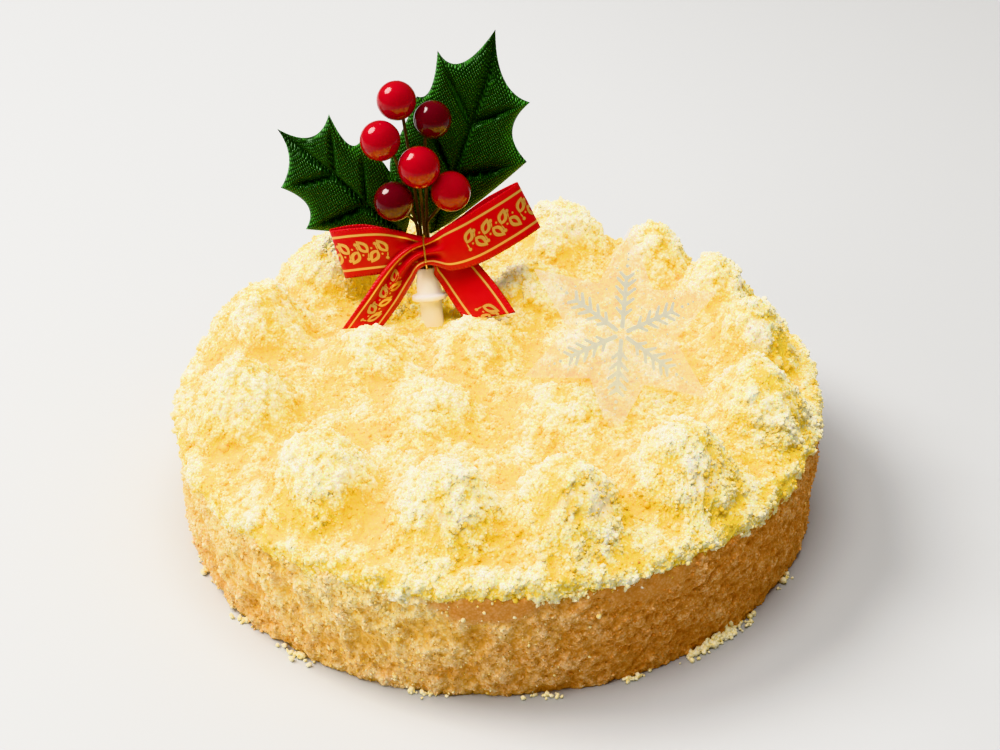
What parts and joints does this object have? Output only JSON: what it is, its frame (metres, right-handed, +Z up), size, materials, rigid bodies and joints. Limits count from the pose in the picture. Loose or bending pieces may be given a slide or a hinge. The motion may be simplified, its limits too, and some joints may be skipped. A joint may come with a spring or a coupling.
{
  "type": "crumb-coated cheesecake",
  "caption": "Round cheesecake in a coat of sponge crumbs, with mounds of cream on its top, a holly cake pick with a ribbon bow and a frosted clear star plate.",
  "frame": {"origin": "centre of the flat underside of the cake", "axes": "+Z up, +Y from the viewer to the back of the cake, +X to the viewer's right"},
  "size_m": [0.1514, 0.151, 0.0969],
  "materials": {
    "crumb": "matte, coarse crumbs",
    "cream": "matte, whipped",
    "white_plastic": "gloss",
    "brown_wire": "satin",
    "gold_wire": "polished",
    "red_lacquer": "high gloss",
    "wine_lacquer": "high gloss",
    "red_satin": "satin ribbon with gold print",
    "green_fabric": "padded, glossy weave",
    "frosted_sheet": "frosted clear"
  },
  "bodies": {
    "root": {"cake": "crumb", "cream_mound_01": "cream", "cream_mound_02": "cream", "cream_mound_03": "cream", "cream_mound_04": "cream", "cream_mound_05": "cream", "cream_mound_06": "cream", "cream_mound_07": "cream", "cream_mound_08": "cream", "cream_mound_09": "cream", "cream_mound_10": "cream", "cream_mound_11": "cream", "cream_mound_12": "cream", "cream_mound_13": "cream", "cream_mound_14": "cream", "cream_mound_15": "cream", "cream_mound_16": "cream", "cream_mound_17": "cream", "cream_mound_18": "cream", "cream_mound_19": "cream", "pick_foot": "white_plastic", "berry_1": "red_lacquer", "berry_1_stem": "brown_wire", "berry_2": "wine_lacquer", "berry_2_stem": "brown_wire", "berry_3": "red_lacquer", "berry_3_stem": "brown_wire", "berry_4": "red_lacquer", "berry_4_stem": "brown_wire", "berry_5": "wine_lacquer", "berry_5_stem": "brown_wire", "berry_6": "red_lacquer", "berry_6_stem": "brown_wire", "leaf_left": "green_fabric", "leaf_right": "green_fabric", "ribbon_bow": "red_satin", "bow_wire": "gold_wire", "star_plate": "frosted_sheet"}
  },
  "joints": []
}
